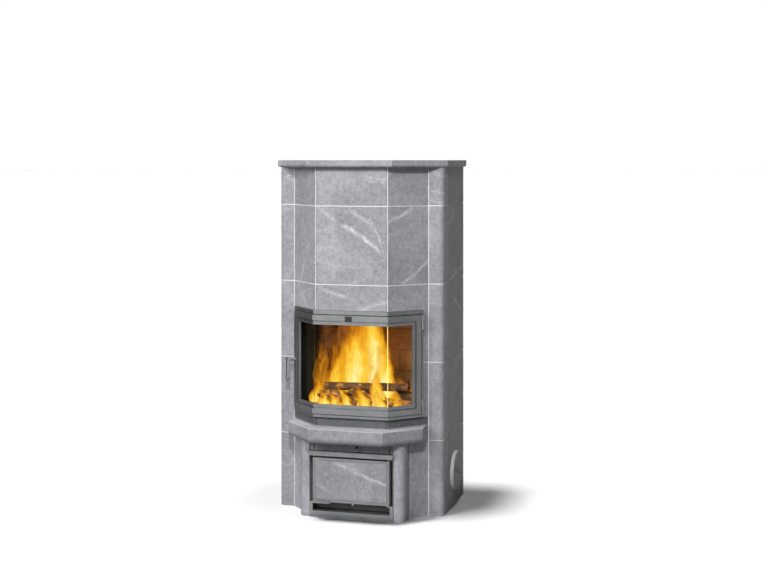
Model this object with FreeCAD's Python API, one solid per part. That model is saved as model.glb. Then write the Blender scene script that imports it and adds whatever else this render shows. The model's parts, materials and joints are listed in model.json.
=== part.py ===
import FreeCAD, Part
import math
import os

# A heat-retaining soapstone stove with a three-facet glazed fire door.
# Millimetres, +Z up, the front faces -Y, origin on the floor under the middle of the stove's box.

# Driving dimensions of the whole stove
overall_height = 1800.0
body_width = 876.0
body_depth = 480.0
bay_projection = 170.0
pilaster_width = 79.5
shelf_overhang = 103.0
wall_thickness = 60.0
joint_gap = 5.0
mortar_inset = 1.5
base_height = 382.0
top_course_height = 194.0
tall_courses = 3
pilaster_radius = 26.0
pilaster_return = 80.0
front_slab_chamfer = 6.0

# Top slab
slab_thickness = 36.0
slab_side_overhang = 17.0
slab_corner_overhang = 35.5
slab_front_overhang = 45.0
slab_edge_radius = 14.0

# Hearth shelf and sill
shelf_thickness = 75.0
shelf_rise = 6.0
shelf_corner_overhang = 3.5
shelf_end_inset = 3.5
shelf_under_radius = 30.0
shelf_top_radius = 4.0
sill_height = 40.0

# Base front: columns, lintel and ash hatch
column_offset = 31.5
column_width = 54.0
column_depth = 104.0
column_radius = 36.0
base_lintel_offset = 7.5
base_lintel_recess = 9.0
base_lintel_height = 52.0
hatch_frame_wall = 18.0
hatch_post_web = 14.0
hatch_frame_depth = 60.0
hatch_frame_proud = 5.0
hatch_header_height = 23.0
hatch_header_proud = 14.0
hatch_rail_height = 33.0
hatch_void_height = 46.0
hatch_thickness = 34.0
hatch_border = 14.0
hatch_lip_height = 17.0
hatch_stone_depth = 22.0
hatch_stone_proud = 2.0
hatch_fit = 1.5
hatch_top_gap = 12.0
hatch_rail_groove = 5.0
hatch_rail_groove_rise = 9.0
hatch_pivot_inset = 6.0
hatch_pin_radius = 3.0
hatch_pin_reach = 12.0
hatch_pin_floor = 2.0
hatch_ear_height = 7.0
hatch_tab_width = 95.0
hatch_tab_drop = 6.0
hatch_tab_reach = 12.0

# Ash drawer
drawer_height = 30.0
drawer_wall = 2.0
drawer_setback = 46.0
drawer_back_gap = 73.0
drawer_side_gap = 8.0
drawer_runner_height = 6.0
drawer_runner_width = 18.0
drawer_knob_radius = 5.0
drawer_knob_length = 14.0

# Air slide under the shelf
air_plate_width = 62.0
air_plate_height = 24.0
air_plate_thickness = 3.0
air_track_width = 96.0
air_track_lip = 4.0
air_track_back = 3.0
air_knob_radius = 4.0
air_knob_length = 9.0
air_plate_offset = -12.0
air_slot_width = 12.0
air_slot_gap = 3.0

# Fire door surround and door
door_sill_rise = 21.0
lintel_height = 126.0
door_front_offset = 22.0
door_thickness = 16.0
door_rail = 49.0
door_setback_latch = 42.0
door_setback_hinge = 56.0
door_groove_from_edge = 28.0
door_groove_width = 6.0
door_groove_depth = 10.0
door_lip_drop = 5.0
surround_front_offset = 15.0
surround_depth = 66.0
surround_setback_latch = 30.0
surround_setback_hinge = 40.0
surround_stile = 9.0
surround_top_rail = 19.0
surround_bottom_rail = 13.0
surround_lip = 36.0
surround_lip_depth = 6.0
glass_thickness = 4.0
glass_overlap = 8.0
gasket_width = 10.0
gasket_thickness = 6.0
gasket_from_edge = 23.0
clip_size = 14.0
clip_thickness = 2.0
badge_width = 36.0
badge_height = 26.0
badge_thickness = 1.5
badge_right = 10.0

# Door hinges
hinge_along = 47.0
hinge_offset = 23.0
hinge_radius = 6.0
hinge_pin_radius = 3.0
hinge_knuckle = 38.0
hinge_top_inset = 2.0
hinge_cap = 4.0
hinge_leaf = 5.0

# Door handle
handle_along = 52.0
handle_rise = 250.0
handle_spindle_radius = 6.0
handle_boss_radius = 9.0
handle_boss_length = 30.0
handle_bar_width = 11.0
handle_bar_thickness = 19.0
handle_bar_length = 118.0
handle_bar_rise = 14.0
latch_tongue_length = 10.0
latch_tongue_thickness = 5.0

# Firebox and inner core
side_channel = 88.0
core_wall = 50.0
core_back_gap = 66.0
base_floor_height = 30.0
firebox_floor_rise = 17.0
firebox_floor_thickness = 60.0
cheek_thickness = 75.0
cheek_mouth_inset = 42.5
lintel_seat = 15.0
firebox_roof_thickness = 50.0
throat_side_wall = 140.0
throat_depth = 90.0
insulation_thickness = 74.0
side_passage_height = 90.0
core_lid_thickness = 50.0
grate_size = 220.0
grate_thickness = 22.0
grate_ledge = 14.0
grate_bar = 12.0
grate_slots = 8

# Flue outlet and soot covers
flue_bore_radius = 75.0
flue_wall = 4.0
flue_height = 206.0
soot_cover_radius = 105.0
soot_cover_thickness = 20.0
soot_hole_radius = 66.0
soot_from_back = 230.0
soot_height = 177.0
soot_plug_length = 40.0
soot_knob_radius = 11.0
soot_knob_length = 18.0
soot_edge_radius = 8.0

# Fits
fit_gap = 0.5
door_fit = 4.0
running_gap = 0.05
seat_gap = 0.3
overrun = 10.0

# Derived places
half_width = body_width / 2
back_y = (body_depth + bay_projection + shelf_overhang) / 2
pilaster_y = back_y - body_depth
bay_y = pilaster_y - bay_projection
shelf_y = bay_y - shelf_overhang
bay_root = half_width - pilaster_width
bay_half = bay_root - bay_projection
slab_bottom = overall_height - slab_thickness
half_gap = joint_gap / 2
course_height = (slab_bottom - top_course_height - base_height) / tall_courses
course_levels = [base_height + n * course_height for n in range(tall_courses + 1)]
shelf_underside = base_height + shelf_rise
shelf_top = shelf_underside + shelf_thickness
sill_top = shelf_top + sill_height
hatch_frame_height = shelf_underside - base_lintel_height
door_bottom = sill_top + door_sill_rise
firebox_floor_bottom = shelf_top + firebox_floor_rise
surround_top = course_levels[2] - half_gap - lintel_height - fit_gap
door_top = surround_top - surround_top_rail - door_fit
surround_bottom = door_bottom - door_fit - surround_bottom_rail
handle_height = door_bottom + handle_rise
door_back_offset = door_front_offset - door_thickness
inner_half_width = half_width - wall_thickness
inner_back_y = back_y - wall_thickness
core_back_y = inner_back_y - core_back_gap
core_half_width = inner_half_width - side_channel
core_top = slab_bottom - insulation_thickness - core_lid_thickness
firebox_roof_bottom = surround_top + lintel_seat
column_inner_half = bay_half + column_offset
base_lintel_half = bay_half + base_lintel_offset
diagonal_share = math.sqrt(0.5)
corner_share = math.tan(math.radians(22.5))


def vec(x, y, z):
    return FreeCAD.Vector(x, y, z)


def box(x0, x1, y0, y1, z0, z1):
    return Part.makeBox(x1 - x0, y1 - y0, z1 - z0, vec(x0, y0, z0))


def prism(points, z0, z1):
    corners = [vec(x, y, z0) for x, y in points]
    wire = Part.makePolygon(corners + [corners[0]])
    return Part.Face(wire).extrude(vec(0, 0, z1 - z0))


def cylinder(radius, start, axis, length):
    return Part.makeCylinder(radius, length, start, axis)


def mirrored(shape):
    return shape.mirror(vec(0, 0, 0), vec(1, 0, 0))


def pair(shape):
    return [shape, mirrored(shape)]


def save(name, shapes):
    solids = shapes if isinstance(shapes, list) else [shapes]
    pieces = [piece for shape in solids for piece in shape.Solids]
    Part.makeCompound(pieces).exportStep("parts/" + name + ".step")


def vertical_edges(shape, test):
    found = []
    for edge in shape.Edges:
        low, high = edge.Vertexes[0].Point, edge.Vertexes[-1].Point
        upright = abs(low.x - high.x) + abs(low.y - high.y) < running_gap
        if upright and test(low.x, low.y):
            found.append(edge)
    return found


def level_edges(shape, z, test):
    found = []
    for edge in shape.Edges:
        ends = [vertex.Point for vertex in edge.Vertexes]
        flat = all(abs(point.z - z) < running_gap for point in ends)
        if flat and all(test(point.x, point.y) for point in ends):
            found.append(edge)
    return found


def body_outline(inset):
    # the stove's plan, drawn in by inset; the facets stand at 45 degrees
    side = half_width - inset
    root = bay_root - inset * corner_share
    front = bay_half - inset * corner_share
    right = [(side, back_y - inset), (side, pilaster_y + inset), (root, pilaster_y + inset),
             (front, bay_y + inset)]
    left = [(-x, y) for x, y in reversed(right)]
    return right + left


def shell(z0, z1, inset=0.0):
    # the stone wall's ring, or the mortar inside it when drawn in by inset
    outer = prism(body_outline(inset), z0, z1)
    if inset > 0:
        corners = vertical_edges(outer, lambda x, y: abs(x) > inner_half_width and y < inner_back_y)
        outer = outer.makeFillet(pilaster_radius - inset, corners)
    hollow = prism(body_outline(wall_thickness - inset), z0 - overrun, z1 + overrun)
    return outer.cut(hollow)


def facet_point(side, along, offset):
    # a point on a 45-degree facet: along it from the pilaster, and out from its face
    x = bay_root - along * diagonal_share + offset * diagonal_share
    y = pilaster_y - along * diagonal_share - offset * diagonal_share
    return side * x, y


def facet_block(side, along0, along1, offset0, offset1, z0, z1):
    places = [(along0, offset0), (along1, offset0), (along1, offset1), (along0, offset1)]
    return prism([facet_point(side, along, offset) for along, offset in places], z0, z1)


def bay_line(offset, along_left, along_right):
    # the three-facet line at an offset from the bay's faces, from left to right
    corner = bay_half + offset * corner_share
    front = bay_y - offset
    left_end = facet_point(-1, along_left, offset)
    right_end = facet_point(1, along_right, offset)
    return [left_end, (-corner, front), (corner, front), right_end]


def bay_band(offset_out, offset_in, along_left, along_right, z0, z1):
    outer = bay_line(offset_out, along_left, along_right)
    inner = bay_line(offset_in, along_left, along_right)
    return prism(outer + inner[::-1], z0, z1)


def bay_ring(offset_out, offset_in, ends, levels, border):
    # a three-facet frame: a band with a window, border wide all round
    band = bay_band(offset_out, offset_in, ends[0], ends[1], levels[0], levels[1])
    window = bay_band(offset_out + overrun, offset_in - overrun, ends[0] + border, ends[1] + border,
                      levels[0] + border, levels[1] - border)
    return band.cut(window)


# Stone shell
def corner_stone(z0, z1):
    region = box(bay_root + half_gap, half_width, pilaster_y, pilaster_y + pilaster_return - half_gap, z0, z1)
    stone = shell(z0, z1).common(region)
    near = vertical_edges(stone, lambda x, y: x > half_width - fit_gap and y < pilaster_y + fit_gap)
    return stone.makeFillet(pilaster_radius, near)


def side_slab(z0, z1):
    start = pilaster_y + pilaster_return + half_gap
    return box(inner_half_width, half_width, start, back_y, z0, z1)


def back_slab(z0, z1):
    reach = inner_half_width - half_gap
    return box(-reach, reach, inner_back_y, back_y, z0, z1)


def bay_facet(z0, z1):
    region = box(bay_half + half_gap, bay_root - half_gap, bay_y, pilaster_y + wall_thickness, z0, z1)
    return shell(z0, z1).common(region)


def bay_front(z0, z1):
    reach = bay_half - half_gap
    stone = box(-reach, reach, bay_y, bay_y + wall_thickness, z0, z1).common(shell(z0, z1))
    edges = vertical_edges(stone, lambda x, y: y < bay_y + fit_gap)
    return stone.makeChamfer(front_slab_chamfer, edges)


def stone_courses():
    names = ["base", "lower", "middle", "upper", "top"]
    bottoms = [0.0] + [level + half_gap for level in course_levels]
    tops = [level - half_gap for level in course_levels] + [slab_bottom]
    sides = []
    backs = []
    for name, low, high in zip(names, bottoms, tops):
        save("corner_stones_" + name, pair(corner_stone(low, high)))
        sides.append(side_slab(low, high))
        backs.append(back_slab(low, high))
    soot_hole = cylinder(soot_hole_radius + fit_gap, vec(inner_half_width - overrun, back_y - soot_from_back,
                         soot_height), vec(1, 0, 0), wall_thickness + 2 * overrun)
    flue_hole = cylinder(flue_bore_radius + flue_wall, vec(0, inner_back_y - overrun, flue_height),
                         vec(0, 1, 0), wall_thickness + 2 * overrun)
    save("side_slabs_base", pair(sides[0].cut(soot_hole)))
    save("side_slabs", [slab for side in sides[1:] for slab in pair(side)])
    save("back_slab_base", backs[0].cut(flue_hole))
    save("back_slabs", backs[1:])
    bay_levels = {
        "lintel": (surround_top + fit_gap, course_levels[2] - half_gap),
        "upper": (course_levels[2] + half_gap, course_levels[3] - half_gap),
        "top": (course_levels[3] + half_gap, slab_bottom),
    }
    for name, (low, high) in bay_levels.items():
        save("bay_front_" + name, bay_front(low, high))
        save("bay_facets_" + name, pair(bay_facet(low, high)))


def door_jambs():
    stones = []
    spans = [(sill_top, course_levels[1] - half_gap), (course_levels[1] + half_gap, surround_top + fit_gap)]
    for low, high in spans:
        for side, setback in ((-1, surround_setback_latch), (1, surround_setback_hinge)):
            facet = bay_facet(low, high)
            facet = facet if side > 0 else mirrored(facet)
            keep = facet_block(side, -wall_thickness, setback - fit_gap, -2 * wall_thickness, overrun,
                               low, high)
            stones.append(facet.common(keep))
    save("door_jambs", stones)


def sill_stones():
    front = bay_front(shelf_top, sill_top)
    save("sill_stones", [front] + pair(bay_facet(shelf_top, sill_top)))


def top_slab():
    front = bay_y - slab_front_overhang
    half_front = bay_half + slab_corner_overhang
    half = half_width + slab_side_overhang
    shoulder = front + (half - half_front)
    right = [(half, back_y), (half, shoulder), (half_front, front)]
    outline = right + [(-x, y) for x, y in reversed(right)]
    slab = prism(outline, slab_bottom, overall_height)
    lower = [edge for edge in level_edges(slab, slab_bottom, lambda x, y: True)
             if edge.CenterOfMass.y < back_y - fit_gap]
    save("top_slab", slab.makeFillet(slab_edge_radius, lower))


def hearth_shelf():
    half_front = bay_half + shelf_corner_overhang
    half = bay_root - shelf_end_inset
    shoulder = shelf_y + (half - half_front)
    right = [(half, pilaster_y - seat_gap), (half, shoulder), (half_front, shelf_y)]
    outline = right + [(-x, y) for x, y in reversed(right)]
    shelf = prism(outline, shelf_underside, shelf_top)
    hollow = prism(body_outline(wall_thickness), shelf_underside - overrun, shelf_top + overrun)
    shelf = shelf.cut(hollow)
    low = level_edges(shelf, shelf_underside, lambda x, y: y <= shoulder + fit_gap and (y < shelf_y + fit_gap
                      or abs(x) > half - fit_gap))
    shelf = shelf.makeFillet(shelf_under_radius, low)
    high = level_edges(shelf, shelf_top, lambda x, y: y <= shoulder + fit_gap and (y < shelf_y + fit_gap
                       or abs(x) > half - fit_gap))
    save("hearth_shelf", shelf.makeFillet(shelf_top_radius, high))


# Base front
def base_front():
    column = box(column_inner_half, column_inner_half + column_width, bay_y, bay_y + column_depth,
                 0, shelf_underside)
    edge = vertical_edges(column, lambda x, y: x > column_inner_half + fit_gap and y < bay_y + fit_gap)
    column = column.makeFillet(column_radius, edge)
    inside = prism(body_outline(wall_thickness), -overrun, overall_height)
    column = column.cut(inside)
    save("base_columns", pair(column))
    facet = bay_facet(0, shelf_underside)
    clear = box(0, column_inner_half + column_width + half_gap, bay_y - overrun,
                bay_y + column_depth + half_gap, -overrun, overall_height)
    reach = box(0, column_inner_half, bay_y - overrun, back_y, -overrun, overall_height)
    save("base_facets", pair(facet.cut(clear).cut(reach)))
    front = bay_y + base_lintel_recess
    low = hatch_frame_height
    middle = box(-base_lintel_half, base_lintel_half, front, bay_y + wall_thickness, low, shelf_underside)
    end = box(base_lintel_half + joint_gap, column_inner_half, front, bay_y + wall_thickness,
              low, shelf_underside)
    save("base_lintel", [middle.cut(air_slot())] + pair(end))


def hatch_parts():
    half = column_inner_half - fit_gap
    front = bay_y - hatch_frame_proud
    back = front + hatch_frame_depth
    header_z = hatch_frame_height - hatch_header_height
    inner = half - hatch_frame_wall
    frame = box(-half, half, front, back, 0, hatch_frame_height)
    window = box(-inner, inner, front - overrun, back + overrun, hatch_rail_height, header_z)
    frame = frame.cut(window)
    low = hatch_rail_height + hatch_void_height
    # beside the panel the posts are only a web at the back, so a deep dark gap shows there
    gap = box(inner - overrun, half + overrun, front - overrun, back - hatch_post_web, low, header_z)
    frame = frame.cut(gap).cut(mirrored(gap))
    header = box(-half, half, front - hatch_header_proud, front + hatch_fit, header_z, hatch_frame_height)
    high = header_z - hatch_top_gap
    # above the panel a web at the back closes the gap under the header
    web = box(-inner - hatch_fit, inner + hatch_fit, back - hatch_post_web, back, high - hatch_border, header_z)
    groove = box(-half - overrun, half + overrun, front - overrun, front + hatch_rail_groove,
                 hatch_rail_groove_rise, hatch_rail_groove_rise + hatch_rail_groove)
    frame = frame.fuse(header).fuse(web).cut(groove)
    reach = inner - hatch_fit
    panel = box(-reach, reach, front, front + hatch_thickness, low, high)
    recess = box(-reach + hatch_border, reach - hatch_border, front - overrun, front + hatch_stone_depth,
                 low + hatch_lip_height, high - hatch_border)
    panel = panel.cut(recess)
    tab = box(-reach, -reach + hatch_tab_width, front - hatch_tab_reach, front + hatch_tab_reach,
              low - hatch_tab_drop, low + hatch_tab_drop)
    slant = vertical_edges(tab, lambda x, y: x > -reach + fit_gap and y < front)
    panel = panel.fuse(tab.makeChamfer(hatch_tab_reach - fit_gap, slant)).removeSplitter()
    stone = box(-reach + hatch_border + fit_gap, reach - hatch_border - fit_gap, front - hatch_stone_proud,
                front + hatch_stone_depth, low + hatch_lip_height, high - hatch_border - fit_gap)
    # concealed pivots: one pin on an ear of the frame under the panel, one in the header above it
    edge = vertical_edges(panel, lambda x, y: x > reach - fit_gap and y < front + fit_gap)
    panel = panel.makeFillet(hatch_pivot_inset, edge)
    axis_x = reach - hatch_pivot_inset
    axis_y = front + hatch_pivot_inset
    ear_z = low - seat_gap - hatch_ear_height
    ear = box(axis_x - hatch_pivot_inset, inner, front, axis_y + hatch_pivot_inset, ear_z, low - seat_gap)
    lower_z = ear_z + hatch_pin_floor
    upper_z = high - hatch_pin_reach
    upper_end = header_z + hatch_pin_reach
    lower_pin = cylinder(hatch_pin_radius, vec(axis_x, axis_y, lower_z), vec(0, 0, 1),
                         low + hatch_pin_reach - lower_z)
    upper_pin = cylinder(hatch_pin_radius, vec(axis_x, axis_y, upper_z), vec(0, 0, 1),
                         upper_end - upper_z)
    lower_bore = cylinder(hatch_pin_radius + running_gap, vec(axis_x, axis_y, lower_z), vec(0, 0, 1),
                          low + hatch_pin_reach + seat_gap - lower_z)
    upper_bore = cylinder(hatch_pin_radius + running_gap, vec(axis_x, axis_y, upper_z), vec(0, 0, 1),
                          upper_end + seat_gap - upper_z)
    frame = frame.fuse(ear).removeSplitter().cut(lower_bore).cut(upper_bore)
    panel = panel.cut(lower_bore).cut(upper_bore)
    save("hatch_frame", frame)
    save("hatch_pins", [lower_pin, upper_pin])
    save("hatch_door", panel)
    save("hatch_stone", stone)
    return inner, front


def ash_drawer(inner, front):
    half = inner - drawer_side_gap
    start = front + drawer_setback
    drawer_length = core_back_y - core_wall - drawer_back_gap - start
    low = hatch_rail_height + drawer_runner_height
    high = low + drawer_height
    tray = box(-half, half, start, start + drawer_length, low, high)
    hollow = box(-half + drawer_wall, half - drawer_wall, start + drawer_wall,
                 start + drawer_length - drawer_wall, low + drawer_wall, high + overrun)
    knob = cylinder(drawer_knob_radius, vec(0, start - drawer_knob_length, high - drawer_knob_radius),
                    vec(0, 1, 0), drawer_knob_length)
    save("ash_drawer", tray.cut(hollow))
    save("drawer_knob", knob)
    runner_start = front + hatch_frame_depth + wall_thickness
    runner = box(half - drawer_runner_width, half, runner_start, start + drawer_length, base_floor_height,
                 low - seat_gap)
    save("drawer_runners", pair(runner))


# the air inlet beside the slide's plate, through its track and the stone behind
def air_slot():
    middle_z = (hatch_frame_height + shelf_underside) / 2
    reach = air_plate_height / 2 - air_track_lip
    left = air_plate_offset + air_plate_width / 2 + air_slot_gap
    return box(left, left + air_slot_width, bay_y - wall_thickness, bay_y + wall_thickness + overrun,
               middle_z - reach, middle_z + reach)


def air_slide():
    back = bay_y + base_lintel_recess
    middle_z = (hatch_frame_height + shelf_underside) / 2
    low = middle_z - air_plate_height / 2
    high = middle_z + air_plate_height / 2
    half = air_track_width / 2
    depth = air_track_back + air_plate_thickness + seat_gap + air_track_lip / 2
    track = box(-half, half, back - depth, back, low - air_track_lip, high + air_track_lip)
    channel = box(-half - overrun, half + overrun, back - air_track_back - air_plate_thickness - seat_gap,
                  back - air_track_back, low - seat_gap, high + seat_gap)
    face = box(-half - overrun, half + overrun, back - depth - overrun, back - air_track_back,
               low + air_track_lip, high - air_track_lip)
    left = air_plate_offset - air_plate_width / 2
    plate_y = back - air_track_back - air_plate_thickness
    plate = box(left, left + air_plate_width, plate_y, plate_y + air_plate_thickness - seat_gap, low, high)
    knob = cylinder(air_knob_radius, vec(left + 2 * air_knob_radius, plate_y - air_knob_length, middle_z),
                    vec(0, 1, 0), air_knob_length)
    save("air_slide_track", track.cut(channel).cut(face).cut(air_slot()))
    save("air_slide_plate", plate.fuse(knob))


# Fire door
def fire_door():
    ends = (door_setback_latch, door_setback_hinge)
    levels = (door_bottom, door_top)
    frame = bay_ring(door_front_offset, door_back_offset, ends, levels, door_rail)
    groove_out = door_groove_from_edge
    groove_ends = tuple(end + groove_out for end in ends)
    groove_levels = (door_bottom + groove_out, door_top - groove_out)
    groove = bay_ring(door_front_offset + overrun, door_front_offset - door_groove_depth, groove_ends,
                      groove_levels, door_groove_width)
    lip_out = groove_out + door_groove_width
    lip_ends = tuple(end + lip_out for end in ends)
    lip_levels = (door_bottom + lip_out, door_top - lip_out)
    lip = bay_ring(door_front_offset + overrun, door_front_offset - door_lip_drop, lip_ends, lip_levels,
                   door_rail - lip_out + overrun)
    rebate_out = door_rail - glass_overlap
    rebate = bay_band(door_back_offset + glass_thickness, door_back_offset - overrun, ends[0] + rebate_out,
                      ends[1] + rebate_out, door_bottom + rebate_out, door_top - rebate_out)
    frame = frame.cut(groove).cut(lip).cut(rebate)
    glass_out = rebate_out + fit_gap
    low, high = door_bottom + glass_out, door_top - glass_out
    glass_front = door_back_offset + glass_thickness
    glass = bay_band(glass_front, door_back_offset, ends[0] + glass_out, ends[1] + glass_out, low, high)
    reach = bay_half + door_back_offset * corner_share
    split = box(-reach, reach, bay_y - 2 * wall_thickness, pilaster_y, low, high)
    inner = box(-reach + fit_gap, reach - fit_gap, bay_y - 2 * wall_thickness, pilaster_y, low, high)
    sides = glass.cut(split).Solids
    sides.sort(key=lambda piece: piece.CenterOfMass.x)
    save("glass_left", sides[0])
    save("glass_center", glass.common(inner))
    save("glass_right", sides[-1])
    gasket_ends = tuple(end + gasket_from_edge for end in ends)
    gasket = bay_ring(door_back_offset, door_back_offset - gasket_thickness, gasket_ends,
                      (door_bottom + gasket_from_edge, door_top - gasket_from_edge), gasket_width)
    save("door_gasket", gasket)
    clips = []
    clip_back = door_back_offset - clip_thickness
    for z in (low - clip_size / 2, high - clip_size / 2):
        for x in (-bay_half / 2, bay_half / 2):
            clips.append(box(x - clip_size / 2, x + clip_size / 2, bay_y - door_back_offset, bay_y - clip_back,
                             z, z + clip_size))
        for side in (-1, 1):
            along = bay_projection / diagonal_share / 2 + door_rail / 2
            clips.append(facet_block(side, along - clip_size / 2, along + clip_size / 2, door_back_offset,
                                     clip_back, z, z + clip_size))
    save("glass_clips", clips)
    badge_top = door_top - door_fit
    badge_back = bay_y - door_front_offset
    badge = box(badge_right - badge_width, badge_right, badge_back - badge_thickness, badge_back,
                badge_top - badge_height, badge_top)
    save("door_badge", badge)
    return frame


def door_surround():
    outer_ends = (surround_setback_latch, surround_setback_hinge)
    back = surround_front_offset - surround_depth
    band = bay_band(surround_front_offset, back, outer_ends[0], outer_ends[1], surround_bottom, surround_top)
    inner_ends = tuple(end + surround_stile for end in outer_ends)
    low = surround_bottom + surround_bottom_rail
    high = surround_top - surround_top_rail
    lip_front = door_back_offset - gasket_thickness - seat_gap
    window = bay_band(surround_front_offset + overrun, lip_front, inner_ends[0], inner_ends[1], low, high)
    passage = bay_band(surround_front_offset + overrun, back - overrun, inner_ends[0] + surround_lip,
                       inner_ends[1] + surround_lip, low + surround_lip, high - surround_lip)
    behind = bay_band(lip_front - surround_lip_depth, back - overrun, inner_ends[0], inner_ends[1], low, high)
    return band.cut(window).cut(passage).cut(behind)


def door_hinges(frame, surround):
    x, y = facet_point(1, hinge_along, hinge_offset)
    pins = []
    upper_z = door_top - hinge_top_inset - 2 * hinge_knuckle + hinge_cap
    for z in (door_bottom, upper_z):
        top = z + hinge_knuckle + seat_gap
        bore = cylinder(hinge_pin_radius + running_gap, vec(x, y, z + hinge_cap), vec(0, 0, 1),
                        2 * hinge_knuckle)
        barrel = cylinder(hinge_radius, vec(x, y, z), vec(0, 0, 1), hinge_knuckle)
        leaf = facet_block(1, hinge_along - hinge_leaf, hinge_along, surround_front_offset, hinge_offset,
                           z, z + hinge_knuckle)
        surround = surround.fuse(leaf.fuse(barrel).cut(bore))
        door_barrel = cylinder(hinge_radius, vec(x, y, top), vec(0, 0, 1), hinge_knuckle - hinge_cap)
        door_leaf = facet_block(1, hinge_along, door_setback_hinge + hinge_leaf, door_front_offset - hinge_leaf,
                                hinge_offset, top, top + hinge_knuckle - hinge_cap)
        frame = frame.fuse(door_leaf.fuse(door_barrel).cut(bore))
        pins.append(cylinder(hinge_pin_radius, vec(x, y, z + hinge_cap), vec(0, 0, 1),
                             2 * hinge_knuckle - 2 * hinge_cap))
    save("door_surround", surround)
    save("hinge_pins", pins)
    return frame


def door_handle(frame):
    normal = vec(-diagonal_share, -diagonal_share, 0)
    tongue_back = door_back_offset - latch_tongue_thickness
    x, y = facet_point(-1, handle_along, tongue_back - seat_gap)
    center = vec(x, y, handle_height)
    boss_end = door_front_offset + handle_boss_length
    spindle_length = boss_end - tongue_back + seat_gap
    bore = cylinder(handle_spindle_radius + running_gap, center - normal * overrun, normal,
                    spindle_length + 2 * overrun)
    spindle = cylinder(handle_spindle_radius, center, normal, spindle_length)
    bx, by = facet_point(-1, handle_along, door_front_offset + seat_gap)
    boss = cylinder(handle_boss_radius, vec(bx, by, handle_height), normal, handle_boss_length - seat_gap)
    half = handle_bar_width / 2
    bar_top = handle_height + handle_bar_rise
    bar_low = bar_top - handle_bar_length
    bar = facet_block(-1, handle_along - half, handle_along + half, boss_end, boss_end + handle_bar_thickness,
                      bar_low + half, bar_top)
    ex, ey = facet_point(-1, handle_along, boss_end)
    tip = cylinder(half, vec(ex, ey, bar_low + half), normal, handle_bar_thickness)
    tongue = facet_block(-1, handle_along - handle_spindle_radius, handle_along + handle_spindle_radius,
                         tongue_back, door_back_offset - seat_gap, handle_height - latch_tongue_length,
                         handle_height)
    save("door_handle", bar.fuse(tip).fuse(boss).removeSplitter())
    save("latch_spindle", spindle.fuse(tongue).cut(boss))
    save("door_frame", frame.cut(bore))


# Inner core
def inner_core():
    room = prism(body_outline(wall_thickness + fit_gap), 0, overall_height)
    save("base_floor", room.common(box(-half_width, half_width, bay_y, back_y, 0, base_floor_height)))
    pier = box(core_half_width - core_wall, core_half_width, pilaster_y + wall_thickness + fit_gap, core_back_y,
               base_floor_height, firebox_floor_bottom)
    rear = box(core_wall - core_half_width, core_half_width - core_wall, core_back_y - core_wall, core_back_y,
               base_floor_height, firebox_floor_bottom)
    save("core_base_walls", pair(pier) + [rear])
    floor_top = firebox_floor_bottom + firebox_floor_thickness
    grate_y = (pilaster_y + core_back_y - core_wall) / 2 - core_wall
    half_grate = grate_size / 2
    floor = room.common(box(-core_half_width, core_half_width, bay_y, core_back_y,
                            firebox_floor_bottom, floor_top))
    seat = box(-half_grate - fit_gap, half_grate + fit_gap, grate_y - half_grate - fit_gap,
               grate_y + half_grate + fit_gap, floor_top - grate_thickness, floor_top + overrun)
    throat = box(grate_ledge - half_grate, half_grate - grate_ledge, grate_y - half_grate + grate_ledge,
                 grate_y + half_grate - grate_ledge, firebox_floor_bottom - overrun, floor_top)
    save("firebox_floor", floor.cut(seat).cut(throat))
    grate = box(-half_grate, half_grate, grate_y - half_grate, grate_y + half_grate,
                floor_top - grate_thickness, floor_top)
    pitch = (grate_size - 2 * grate_ledge) / grate_slots
    for n in range(grate_slots):
        x = -half_grate + grate_ledge + n * pitch + grate_bar / 2
        grate = grate.cut(box(x, x + pitch - grate_bar, grate_y - half_grate + grate_ledge,
                              grate_y + half_grate - grate_ledge, firebox_floor_bottom, floor_top + overrun))
    save("grate", grate)
    mouth_y = pilaster_y + wall_thickness
    cheek = prism([(core_half_width - cheek_thickness, core_back_y - core_wall),
                   (bay_root - cheek_mouth_inset, mouth_y - fit_gap),
                   (bay_root - wall_thickness * corner_share - fit_gap, mouth_y + fit_gap),
                   (core_half_width, core_back_y - core_wall)], floor_top, firebox_roof_bottom)
    save("firebox_left", mirrored(cheek))
    save("firebox_right", cheek)
    save("firebox_back", box(-core_half_width, core_half_width, core_back_y - core_wall, core_back_y, floor_top,
                             firebox_roof_bottom))
    roof_top = firebox_roof_bottom + firebox_roof_thickness
    roof = box(-core_half_width, core_half_width, mouth_y, core_back_y, firebox_roof_bottom, roof_top)
    throat_y = (mouth_y + core_back_y) / 2
    throat_half = core_half_width - throat_side_wall
    slot = box(-throat_half, throat_half, throat_y - throat_depth / 2, throat_y + throat_depth / 2,
               firebox_roof_bottom - overrun, roof_top + overrun)
    save("firebox_roof", roof.cut(slot))
    wall = box(core_half_width - core_wall, core_half_width, mouth_y, core_back_y, roof_top,
               core_top - side_passage_height)
    save("core_side_walls", pair(wall))
    reach = core_half_width - core_wall
    front_wall = box(-reach, reach, mouth_y, mouth_y + core_wall, roof_top, core_top)
    back_wall = box(-reach, reach, core_back_y - core_wall, core_back_y, roof_top, core_top)
    save("core_end_walls", [front_wall, back_wall])
    lid_top = core_top + core_lid_thickness
    save("core_lid", room.common(box(-half_width, half_width, bay_y, back_y, core_top, lid_top)))
    save("insulation_board", room.common(box(-half_width, half_width, bay_y, back_y, lid_top, slab_bottom)))


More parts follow.
